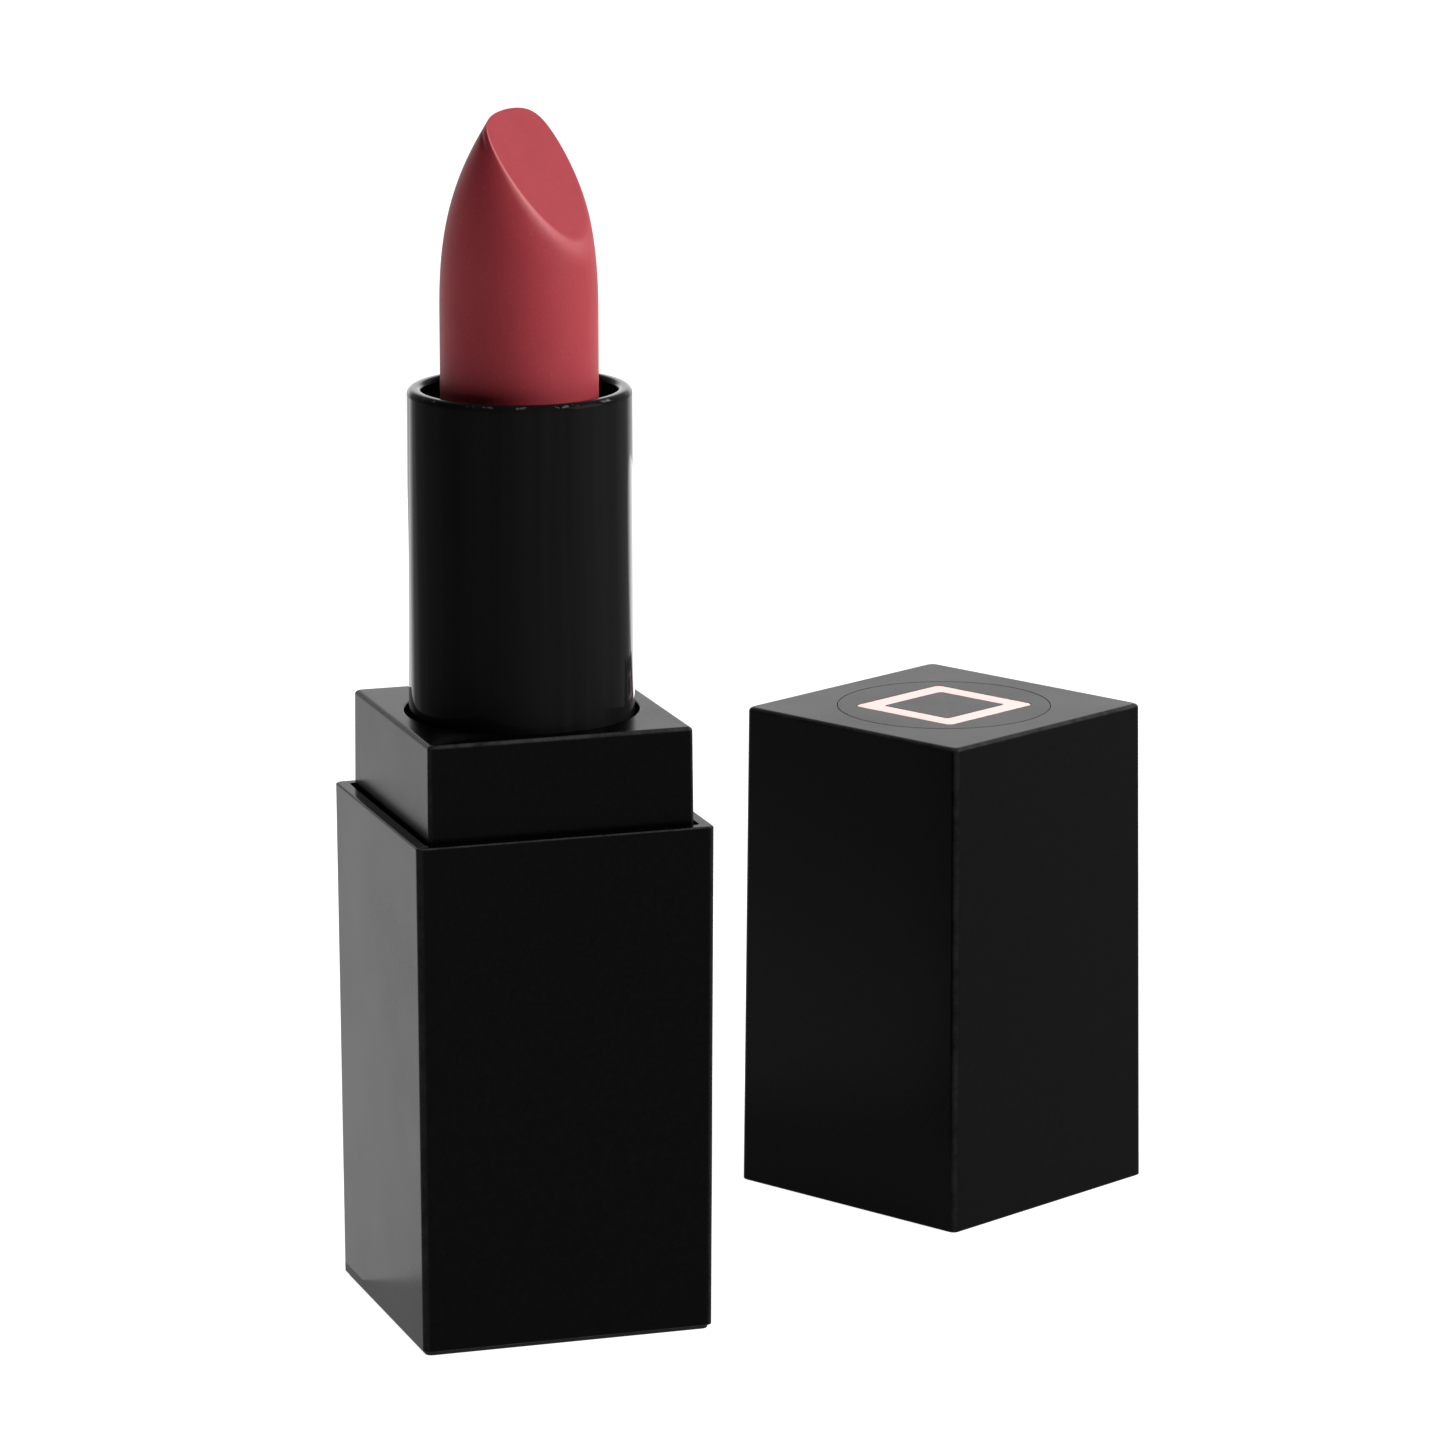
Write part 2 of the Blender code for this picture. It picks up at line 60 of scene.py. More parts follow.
# Edges of the pieces; an upright edge gets less rubbing and less painted highlight than a level one
OUTER_CORNER = 0.45
INNER_CORNER = 0.3
BASE_DRAFT = 0.18
UPRIGHT_WEAR_AND_HIGHLIGHT = 0.3
RIM_WALL = 0.88
RIM_FILLET = 0.13
COLLAR_FILLET = 0.3
COLLAR_DRAFT = 0.065
COLLAR_HALF = 9.625
BORE_RADIUS = 8.25
FLOOR_HOLE_RADIUS = 6.9
BORE_FLOOR = 33.15
CAP_FILLET = 0.3
CAP_TURN = math.radians(28.85)

# Bullet: it narrows above two shoulders (shoulder, reach and power), and a slanted plane cuts its face
BULLET_RADIUS = 5.52
DEPTH_LAW = (71.2, 15.57, 2.485)
WIDTH_LAW = (72.74, 16.95, 3.22)
FACE_AZIMUTH = math.radians(-46.8)
FACE_RISE = math.radians(34.2)
FACE_END = 77.0

# Bullet's mesh: slices crowd towards the tip above TAPER_START, and points in a slice towards the ridge
FOOT_SLICES = np.array([0.0, 0.06, 0.15, 0.3, 1.0, 4.0, 8.0, 12.0, 15.0, 16.5, 17.5])
FOOT_EASE = 0.3
TAPER_START = 73.0
TAPER_SLICES = 199
SLICE_POINTS = 240
RIDGE_SHARE = 0.42
CROWDING = 1.35
LEAST_RIDGE = 0.22

# Bullet's crease beside the tip: its angle past the ridge, its level, its spreads and its depth
CREASE_ANGLE, CREASE_LEVEL = 0.16, 84.0
CREASE_WIDTH, CREASE_HEIGHT, CREASE_DEPTH = 0.05, 0.55, 0.16

WHITE = (1.0, 1.0, 1.0, 1.0)


# ---------------------------------------------------------------- surfaces

def square_table():
    """Corner-centre path and outward direction round a unit square, from the middle of its +X side."""
    arc = np.linspace(0.0, 0.5 * np.pi, CORNER_SPANS + 1)
    rise = SIDE_STOPS[:-1]
    fall = SIDE_STOPS[:0:-1]
    path = np.concatenate([
        np.stack([np.ones_like(rise), rise], 1),
        np.ones((len(arc), 2)),
        np.stack([fall[1:], np.ones(len(fall) - 1)], 1),
    ])
    facing = np.concatenate([
        np.tile([1.0, 0.0], (len(rise), 1)),
        np.stack([np.cos(arc), np.sin(arc)], 1),
        np.tile([0.0, 1.0], (len(fall) - 1, 1)),
    ])
    turn = np.array([[0.0, -1.0], [1.0, 0.0]])
    paths, facings = [path], [facing]
    for _ in range(3):
        paths.append(paths[-1] @ turn.T)
        facings.append(facings[-1] @ turn.T)
    return np.concatenate(paths), np.concatenate(facings)


def circle_table(count):
    """Outward direction round a circle, from the +X axis."""
    angle = np.linspace(0.0, 2.0 * np.pi, count, endpoint=False)
    return np.stack([np.cos(angle), np.sin(angle)], 1)


def filleted(corners, closed):
    """Section through corners (size, z, fillet, corner radius or None for round), each rounded by an arc.

    An arc leaves its two straight runs at the same distance from the corner, and a support point on each
    run keeps the flats flat. The result's columns are size, z, corner radius, a flag for round rings and
    how much of an edge the ring is: the sine of its place along an arc, and 0 on a flat.
    """
    points = np.array([[size, z] for size, z, _, _ in corners], float)
    rows = []
    last = len(corners) - 1
    for index, (size, z, fillet, corner) in enumerate(corners):
        is_round = corner is None
        tail = [0.0 if is_round else corner, float(is_round)]
        if not closed and index in (0, last):
            rows.append([size, z, *tail, 0.0])
            continue
        here = points[index]
        back = points[index - 1] - here
        ahead = points[(index + 1) % len(corners)] - here
        back_length, ahead_length = np.linalg.norm(back), np.linalg.norm(ahead)
        back, ahead = back / back_length, ahead / ahead_length
        half_angle = 0.5 * math.acos(float(np.clip(back @ ahead, -1.0, 1.0)))
        fillet = max(fillet, LEAST_FILLET)
        reach = fillet / math.tan(half_angle)
        middle = here + (back + ahead) / np.linalg.norm(back + ahead) * fillet / math.sin(half_angle)
        start, end = here + back * reach - middle, here + ahead * reach - middle
        sweep = math.pi - 2.0 * half_angle
        share = np.linspace(0.0, 1.0, FILLET_SPANS + 1)[:, None]
        spread = np.sin((1.0 - share) * sweep) * start + np.sin(share * sweep) * end
        arc = middle + spread / math.sin(sweep)
        before = here + back * min(reach + SUPPORT, 0.5 * back_length)
        after = here + ahead * min(reach + SUPPORT, 0.5 * ahead_length)
        # The edge share later lightens the colour, partly as rubbing and partly as painted highlight lines
        edge = (0.0, *np.sin(np.pi * share[:, 0]), 0.0)
        rows.extend([*point, *tail, edge_wear_and_highlight] for point, edge_wear_and_highlight in zip((before, *arc, after), edge))
    return np.array(rows)


def ring_rows(section, round_only=False):
    """Rings of a section: size times the circle's direction, or the square's path plus its corner offset.

    A point's fourth number is how much of an edge it is: the ring's own share, or on a square's corner arc
    UPRIGHT_WEAR_AND_HIGHLIGHT times twice the product of the outward direction's sine and cosine.
    """
    size, z, corner, is_round, edge = (column[:, None, None] for column in section.T)
    if round_only:
        flat = size * circle_table(ROUND_POINTS)[None]
        edge_wear_and_highlight = np.broadcast_to(edge, (*flat.shape[:2], 1))
    else:
        path, facing = square_table()
        square = (size - corner) * path[None] + corner * facing[None]
        flat = np.where(is_round > 0.5, size * circle_table(len(path))[None], square)
        # Upright corner arcs get a smaller share of the rubbing and painted highlight lines
        upright = np.abs(2.0 * facing[:, :1] * facing[:, 1:])[None] * (is_round < 0.5)
        edge_wear_and_highlight = np.maximum(edge, UPRIGHT_WEAR_AND_HIGHLIGHT * upright)
    return np.concatenate([flat, np.broadcast_to(z, (*flat.shape[:2], 1)), edge_wear_and_highlight], 2)


def grid_faces(rows, columns, wrap_rows):
    """Quads between neighbouring rings, with the columns wrapped and the rows wrapped on request."""
    row = np.arange(rows if wrap_rows else rows - 1)[:, None]
    column = np.arange(columns)[None]
    near, far = row * columns, (row + 1) % rows * columns
    following = (column + 1) % columns
    quads = np.stack([near + column, near + following, far + following, far + column], 2)
    return quads.reshape(-1, 4)


def cap_faces(rows, columns, first_pole):
    """Triangles that close the first and the last ring on their middle points."""
    column = np.arange(columns)
    following = (column + 1) % columns
    top = (rows - 1) * columns
    low = np.stack([np.full(columns, first_pole), following, column], 1)
    high = np.stack([np.full(columns, first_pole + 1), top + column, top + following], 1)
    return np.concatenate([low, high])


def make_mesh(name, vertices, faces):
    """Object at the origin with its place in its mesh, in metres, shaded smooth.

    The fourth number of each vertex becomes the point attribute "edge".
    """
    mesh = bpy.data.meshes.new(name)
    mesh.from_pydata((vertices[:, :3] * MM).tolist(), [], faces)
    edge = mesh.attributes.new("edge", "FLOAT", "POINT")
    edge.data.foreach_set("value", vertices[:, 3].astype(np.float32))
    mesh.shade_smooth()
    made = bpy.data.objects.new(name, mesh)
    bpy.context.scene.collection.objects.link(made)
    return made


def skin(name, rows, closed):
    """Closed solid over a run of rings: the last joins the first, or both ends close on middle points."""
    count, columns = rows.shape[:2]
    vertices = rows.reshape(-1, 4)
    faces = grid_faces(count, columns, closed).tolist()
    if not closed:
        faces += cap_faces(count, columns, len(vertices)).tolist()
        vertices = np.concatenate([vertices, rows[0].mean(0)[None], rows[-1].mean(0)[None]])
    return make_mesh(name, vertices, faces)


def placed(rows, place, turn):
    """Rings turned about Z and moved."""
    cosine, sine = math.cos(turn), math.sin(turn)
    spin = np.array([[cosine, -sine, 0.0], [sine, cosine, 0.0], [0.0, 0.0, 1.0]])
    return np.concatenate([rows[..., :3] @ spin.T + np.array(place), rows[..., 3:]], 2)


def install(made, look, body, node):
    """Dress a finished piece and let it stand for its CAD node."""
    made.data.materials.clear()
    made.data.materials.append(look)
    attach(made, body)
    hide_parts(node)
    return made


def node_box(node):
    """Lowest and highest corner of a CAD node in millimetres."""
    low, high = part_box(node)
    return np.array(low) / MM, np.array(high) / MM


# ---------------------------------------------------------------- shader graph

class Signal:
    """Output socket of a shader node. Arithmetic on it adds Math nodes."""

    def __init__(self, graph, socket):
        self.graph = graph
        self.socket = socket

    def math(self, operation, first, second):
        return self.graph.node("ShaderNodeMath", {"operation": operation}, {0: first, 1: second})

    def __add__(self, other):
        return self.math("ADD", self, other)

    __radd__ = __add__

    def __mul__(self, other):
        return self.math("MULTIPLY", self, other)

    __rmul__ = __mul__

    def __sub__(self, other):
        return self.math("SUBTRACT", self, other)

    def __rsub__(self, other):
        return self.math("SUBTRACT", other, self)


class Graph:
    """Node tree of a material or of the world. One method adds every kind of node."""

    def __init__(self, owner):
        self.owner = owner
        owner.use_nodes = True
        self.tree = owner.node_tree
        self.tree.nodes.clear()

    def node(self, kind, settings=None, sockets=None, output=0):
        """Add a node: settings first (a ramp's stops among them), then its sockets' values or links."""
        made = self.tree.nodes.new(kind)
        for key, value in (settings or {}).items():
            if key == "stops":
                self.set_stops(made.color_ramp.elements, value)
            else:
                setattr(made, key, value)
        for key, value in (sockets or {}).items():
            if isinstance(value, Signal):
                self.tree.links.new(value.socket, made.inputs[key])
            else:
                made.inputs[key].default_value = value
        return Signal(self, made.outputs[output]) if len(made.outputs) else made

    @staticmethod
    def set_stops(elements, stops):
        """Give a ramp its stops, each a position and a grey value."""
        for index, (position, value) in enumerate(stops):
            element = elements[index] if index < len(elements) else elements.new(position)
            element.position = position
            element.color = (value, value, value, 1.0)

    def place(self):
        """Object coordinates."""
        return self.node("ShaderNodeTexCoord", output=3)

    def stretched(self, scale):
        """Object coordinates with their axes scaled, for grain that runs one way."""
        return self.node("ShaderNodeMapping", {}, {"Vector": self.place(), "Scale": scale})

    def noise(self, scale, detail=2.0, roughness=0.5, vector=None):
        """Noise value from 0 to 1."""
        vector = vector or self.place()
        sockets = {"Vector": vector, "Scale": scale, "Detail": detail, "Roughness": roughness}
        return self.node("ShaderNodeTexNoise", {}, sockets)

    def edge(self):
        """The piece's own edge attribute."""
        return self.node("ShaderNodeAttribute", {"attribute_name": "edge"}, output=2)

    def wear_and_highlight(self):
        """Rubbed edges and painted highlight lines along them: the edge attribute, broken up by a noise."""
        rub_and_painted_highlight = self.ramp(self.noise(700.0, 4.0, 0.7), [(0.30, 0.25), (0.65, 1.0)])
        return self.edge() * rub_and_painted_highlight

    def ramp(self, signal, stops):
        """Grey ramp over a signal."""
        return self.node("ShaderNodeValToRGB", {"stops": stops}, {0: signal})

    def blend(self, factor, first, second):
        """Mix of two colours."""
        settings = {"data_type": "RGBA"}
        return self.node("ShaderNodeMix", settings, {0: factor, 6: first, 7: second}, output=2)

    def bump(self, height, distance, strength=1.0, under=None):
        """Bumped normal from a height signal; distance is the height of a full step, in metres."""
        sockets = {"Height": height, "Distance": distance, "Strength": strength}
        if under:
            sockets["Normal"] = under
        return self.node("ShaderNodeBump", {}, sockets)

    def finish(self, color, roughness, normal=None, **others):
        """Principled surface. Its other sockets are named with underscores for spaces."""
        sockets = {"Base Color": color, "Roughness": roughness}
        sockets.update({key.replace("_", " "): value for key, value in others.items()})
        if normal:
            sockets["Normal"] = normal
        shader = self.node("ShaderNodeBsdfPrincipled", {}, sockets)
        self.node("ShaderNodeOutputMaterial", {}, {"Surface": shader})
        return self.owner


def new_graph(name):
    """Node tree of a new material."""
    return Graph(bpy.data.materials.new(name))


def rgb(red, green, blue):
    """Opaque colour."""
    return (red, green, blue, 1.0)


def satin_black(name, dark, light, base_roughness):
    """Soft black moulding: a very fine grain, slow drifts in gloss, and edges lightened partly as rubbing
    and partly as painted highlight lines.

    A low specular level keeps the faces seen head-on black, while those at a flat angle still shine.
    """
    graph = new_graph(name)
    grain = graph.noise(9000.0, 3.0, 0.6)
    drift = graph.noise(140.0, 2.0)
    tone = graph.ramp(graph.noise(2600.0, 4.0, 0.7), [(0.35, 0.0), (0.7, 1.0)])
    body = graph.blend(tone, rgb(*dark), rgb(*light))
    # Lighter grey on the edges: partly rubbing, partly painted highlight lines on the bevels
    color = graph.blend(graph.wear_and_highlight(), body, rgb(0.035, 0.035, 0.036))
    roughness = base_roughness + 0.10 * (drift - 0.5) + 0.08 * (grain - 0.5)
    normal = graph.bump(grain, 0.000012, 0.35)
    return graph.finish(color, roughness, normal, Specular_IOR_Level=0.028)


def gloss_black():
    """Polished black tube: faint flow bands, a trace of haze, crests lightened partly as rubbing and partly
    as painted highlight, and lacquer that shines at a flat angle.
    """
    graph = new_graph("polished_black")
    flow = graph.noise(1.0, 3.0, 0.55, graph.stretched((900.0, 900.0, 20.0)))
    haze = graph.noise(600.0, 4.0, 0.65)
    body = graph.blend(flow, rgb(0.0024, 0.0024, 0.0026), rgb(0.0085, 0.0082, 0.0082))
    # Lighter grey on the lip's crests: partly rubbing, partly a painted highlight line
    crest_wear_and_highlight = graph.ramp(graph.wear_and_highlight(), [(0.78, 0.0), (1.0, 1.0)])
    color = graph.blend(crest_wear_and_highlight, body, rgb(0.12, 0.118, 0.118))
    roughness = 0.06 + 0.05 * haze
    normal = graph.bump(flow, 0.000004, 0.3)
    facing = graph.node("ShaderNodeLayerWeight", {}, {"Blend": 0.5}, output=1)
    lacquer = graph.ramp(facing, [(0.68, 0.0), (0.78, 1.0)])
    return graph.finish(
        color, roughness, normal, Specular_IOR_Level=0.008,
        Coat_Weight=0.36 * lacquer, Coat_Roughness=0.03, Coat_IOR=1.7,
    )


def rose_wax():
    """Pressed lipstick: a rose body with fine pigment grain, a waxy bloom, a painted highlight band along
    the ridge and soft light under its skin.
    """
    graph = new_graph("rose_lipstick")
    cloud = graph.noise(260.0, 3.0, 0.55)
    grain = graph.noise(5200.0, 3.0, 0.7)
    streak = graph.noise(1.0, 3.0, 0.6, graph.stretched((2600.0, 2600.0, 160.0)))
    deep = graph.blend(cloud, rgb(0.202, 0.0205, 0.0270), rgb(0.244, 0.0270, 0.0350))
    pale = graph.ramp(grain, [(0.56, 0.0), (0.74, 0.16)])
    body = graph.blend(pale, deep, rgb(0.40, 0.11, 0.12))
    # Painted highlight: the ridge band, paler and glossier than the body
    rub_and_painted_highlight = graph.edge() * (0.42 + 0.30 * streak)
    color = graph.blend(rub_and_painted_highlight, body, rgb(0.50, 0.18, 0.185))
    roughness = 0.54 + 0.16 * (streak - 0.5) + 0.10 * (grain - 0.5) - 0.10 * rub_and_painted_highlight
    soft = graph.bump(streak, 0.00002, 0.3)
    normal = graph.bump(grain, 0.000012, 0.5, soft)
    return graph.finish(
        color, roughness, normal, Specular_IOR_Level=0.09, Subsurface_Weight=0.15,
        Subsurface_Radius=(1.0, 0.28, 0.22), Subsurface_Scale=0.0007,
    )


def pink_inlay():
    """Pale pink enamel of the cap's ornament, with a light mottle."""
    graph = new_graph("pink_enamel")
    mottle = graph.noise(1800.0, 4.0, 0.6)
    color = graph.blend(mottle, rgb(0.90, 0.56, 0.53), rgb(0.98, 0.64, 0.61))
    roughness = 0.38 + 0.12 * mottle
    normal = graph.bump(mottle, 0.00001, 0.3)
    return graph.finish(color, roughness, normal, Specular_IOR_Level=0.4)


def moulded_black():
    """Black inner mouldings with a fine spark-eroded grain."""
    graph = new_graph("moulded_black")
    grain = graph.noise(4200.0, 4.0, 0.7)
    drift = graph.noise(300.0, 2.0)
    color = graph.blend(grain, rgb(0.008, 0.008, 0.009), rgb(0.02, 0.02, 0.021))
    roughness = 0.46 + 0.14 * drift
    return graph.finish(color, roughness, graph.bump(grain, 0.00003, 0.5), Specular_IOR_Level=0.06)


def label_film():
    """Blank label film with a faint fibre."""
    graph = new_graph("label_film")
    fibre = graph.noise(1.0, 4.0, 0.7, graph.stretched((3000.0, 900.0, 900.0)))
    color = graph.blend(fibre, rgb(0.70, 0.69, 0.66), rgb(0.82, 0.81, 0.78))
    return graph.finish(color, 0.5 + 0.2 * fibre, graph.bump(fibre, 0.00001, 0.5))


def turned_steel():
    """Plated steel of the weight, with lathe lines round its axis."""
    graph = new_graph("plated_steel")
    lines = graph.noise(1.0, 3.0, 0.6, graph.stretched((120.0, 120.0, 9000.0)))
    stain = graph.noise(350.0, 4.0, 0.6)
    color = graph.blend(stain, rgb(0.46, 0.45, 0.43), rgb(0.62, 0.61, 0.58))
    roughness = 0.26 + 0.18 * lines
    return graph.finish(color, roughness, graph.bump(lines, 0.00001, 0.6), Metallic=1.0)


def acetal(name, shade, tint):
    """Milky inner moulding of the mechanism."""
    graph = new_graph(name)
    cloud = graph.noise(500.0, 4.0, 0.6)
    grain = graph.noise(5000.0, 2.0)
    color = graph.blend(cloud, rgb(*shade), rgb(*tint))
    return graph.finish(color, 0.34 + 0.12 * cloud, graph.bump(grain, 0.00001, 0.4))


def silicone():
    """Clear soft seal."""
    graph = new_graph("silicone_seal")
    cloud = graph.noise(900.0, 3.0)
    color = graph.blend(cloud, rgb(0.60, 0.58, 0.54), rgb(0.76, 0.74, 0.70))
    return graph.finish(color, 0.4 + 0.15 * cloud, graph.bump(cloud, 0.00001, 0.4))


# ---------------------------------------------------------------- pieces

def make_base_shell(look):
    """Outer wall from the foot to the wider rim, over the flat rim and down the cavity."""
    low, high = node_box("base_shell")
    rim_half = high[0]
    cavity_half = rim_half - RIM_WALL
    corners = [
        (rim_half - BASE_DRAFT, low[2], 0.08, OUTER_CORNER),
        (rim_half, high[2], RIM_FILLET, OUTER_CORNER),
        (cavity_half, high[2], 0.08, INNER_CORNER),
        (cavity_half, low[2], 0.0, INNER_CORNER),
    ]
    rows = ring_rows(filleted(corners, True))
    return install(skin("square_base_shell", rows, True), look, "base", "base_shell")


def make_foot_plate(look):
    """Foot plate: the label's recess, a lip with eased edges under the shell and a plug inside it."""
    low, high = node_box("base_plate")
    label = node_box("shade_label")[1]
    recess, roof = label[0] + 0.05, label[2] + 0.05
    plug_half = node_box("collar")[1][0]
    lip_top = 0.25
    corners = [
        (0.0, roof, 0.0, None),
        (recess, roof, 0.0, None),
        (recess, low[2], 0.04, None),
        (high[0], low[2], 0.1, OUTER_CORNER),
        (high[0], lip_top, 0.0, OUTER_CORNER),
        (plug_half, lip_top, 0.0, INNER_CORNER),
        (plug_half, high[2], 0.1, INNER_CORNER),
        (0.5 * plug_half, high[2], 0.0, INNER_CORNER),
    ]
    rows = ring_rows(filleted(corners, False)[1:])
    return install(skin("foot_plate", rows, False), look, "base", "base_plate")


def make_label(look):
    """Round blank label with a soft edge."""
    low, high = node_box("shade_label")
    corners = [
        (0.5 * high[0], low[2], 0.0, None),
        (high[0], low[2], 0.03, None),
        (high[0], high[2], 0.0, None),
        (0.5 * high[0], high[2], 0.0, None),
    ]
    rows = ring_rows(filleted(corners, False), round_only=True)
    return install(skin("blank_foot_label", rows, False), look, "base", "shade_label")


def make_collar(look):
    """Square step with rounded top edges and the eased bore that the tube turns in."""
    low, high = node_box("collar")
    band_top = 34.0
    corners = [
        (high[0], low[2], 0.0, INNER_CORNER),
        (high[0], band_top, 0.1, INNER_CORNER),
        (COLLAR_HALF, band_top, 0.0, INNER_CORNER),
        (COLLAR_HALF - COLLAR_DRAFT, high[2], COLLAR_FILLET, INNER_CORNER),
        (BORE_RADIUS, high[2], 0.12, None),
        (BORE_RADIUS, BORE_FLOOR, 0.0, None),
        (FLOOR_HOLE_RADIUS, BORE_FLOOR, 0.0, None),
        (FLOOR_HOLE_RADIUS, low[2], 0.0, None),
    ]
    rows = ring_rows(filleted(corners, True))
    return install(skin("square_collar", rows, True), look, "base", "collar")


def make_tube(look):
    """Slightly tapered tube whose wall rolls over a round lip into a narrower mouth."""
    low, high = node_box("outer_tube")
    foot, top = high[0], high[2]
    lip, mouth, bore = 7.85, 6.8, 7.35
    corners = [
        (bore, low[2], 0.1, None),
        (foot, low[2], 0.15, None),
        (lip, top, 0.45, None),
        (mouth, top, 0.4, None),
        (mouth, top - 1.0, 0.2, None),
        (bore, top - 1.55, 0.2, None),
    ]
    rows = ring_rows(filleted(corners, True), round_only=True)
    return install(skin("turning_tube", rows, True), look, "tube", "outer_tube")


def make_cup(look):
    """Cup with rounded rim and vented floor, and its two round-ended lugs."""
    low, high = node_box("cup")
    radius, bore, vent, floor = high[1], 5.62, 2.0, low[2] + 0.8
    corners = [
        (radius, low[2], 0.12, None),
        (radius, high[2], 0.15, None),
        (bore, high[2], 0.12, None),
        (bore, floor, 0.0, None),
        (vent, floor, 0.1, None),
        (vent, low[2], 0.1, None),
    ]
    rows = ring_rows(filleted(corners, True), round_only=True)
    vertices = [rows.reshape(-1, 4)]
    faces = grid_faces(*rows.shape[:2], True).tolist()
    lug_radius, root, tip, height = 1.0, 5.8, high[0], 56.8
    lug_corners = [
        (0.5 * lug_radius, root, 0.0, None),
        (lug_radius, root, 0.0, None),
        (lug_radius, tip, 0.12, None),
        (0.5 * lug_radius, tip, 0.0, None),
    ]
    lug = ring_rows(filleted(lug_corners, False), round_only=True)[:, ::LUG_STEP]
    across, up, out, edge = lug[..., 0], lug[..., 1], lug[..., 2], lug[..., 3]
    for side in (1.0, -1.0):
        start = sum(len(part) for part in vertices)
        rows = np.stack([side * out, side * across, height + up, edge], 2)
        count, columns = rows.shape[:2]
        vertices += [rows.reshape(-1, 4), rows[0].mean(0)[None], rows[-1].mean(0)[None]]
        faces += (grid_faces(count, columns, False) + start).tolist()
        faces += (cap_faces(count, columns, count * columns) + start).tolist()
    made = make_mesh("bullet_cup", np.concatenate(vertices), faces)
    return install(made, look, "stick", "cup")


def half_breadth(z, law):
    """Half-breadth at a level: radius * (1 - (height above the shoulder / reach) ** power)."""
    shoulder, reach, power = law
    return BULLET_RADIUS * (1.0 - (np.maximum(z - shoulder, 0.0) / reach) ** power)


def soft_minimum(first, second, reach):
    """Smaller of two lengths, blended by a parabola where they differ by less than the reach."""
    share = np.clip(0.5 + 0.5 * (second - first) / reach, 0.0, 1.0)
    return second + (first - second) * share - reach * share * (1.0 - share)


def slice_angles(ridge):
    """Angles round a slice, crowded towards the ridge on either side of the face's middle.

    For a share s from -1 to 1 and the ridge's share r, the angle is ridge * (1 - (1 - |s| / r)^k) up to
    the ridge and ridge + (pi - ridge) * ((|s| - r) / (1 - r))^k past it, with the sign of s.
    """
    share = np.linspace(-1.0, 1.0, SLICE_POINTS, endpoint=False)[None]
    inside = 1.0 - (1.0 - np.minimum(np.abs(share) / RIDGE_SHARE, 1.0)) ** CROWDING
    outside = (np.maximum(np.abs(share) - RIDGE_SHARE, 0.0) / (1.0 - RIDGE_SHARE)) ** CROWDING
    return np.sign(share) * (ridge * inside + (np.pi - ridge) * outside)


